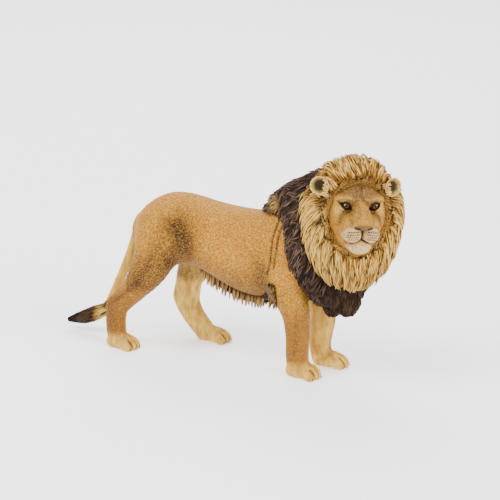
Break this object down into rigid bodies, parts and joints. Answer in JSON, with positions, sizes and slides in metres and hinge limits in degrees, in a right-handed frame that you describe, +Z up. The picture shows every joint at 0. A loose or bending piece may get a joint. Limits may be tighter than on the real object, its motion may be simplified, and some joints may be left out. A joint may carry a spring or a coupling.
{
  "type": "toy wild animal figure",
  "caption": "Standing male lion play figure with its head turned to its right, a full two-tone mane, a belly fringe and a tufted tail.",
  "frame": {"origin": "on the floor, under the middle of the figure's box", "axes": "+X forward, along the body; +Y to the animal's left; +Z up"},
  "size_m": [0.1218, 0.0344, 0.0739],
  "materials": {
    "tan_coat": "solid vinyl, hand painted golden tan with a brown wash",
    "dark_hair": "vinyl painted black-brown, dry brushed grey",
    "light_hair": "vinyl painted yellow ochre over a brown wash",
    "face": "vinyl, tan with a pale muzzle, painted eyes and nose",
    "ear": "vinyl, tan with a dark inside"
  },
  "bodies": {
    "root": {"torso": "tan_coat", "right_hind_leg": "tan_coat", "left_hind_leg": "tan_coat", "right_foreleg": "tan_coat", "left_foreleg": "tan_coat", "tail": "tan_coat", "tail_tuft": "dark_hair", "belly_fringe": "dark_hair", "dark_mane": "dark_hair", "chest_mane": "dark_hair", "light_mane": "light_hair", "head": "face", "right_ear": "ear", "left_ear": "ear"}
  },
  "joints": []
}
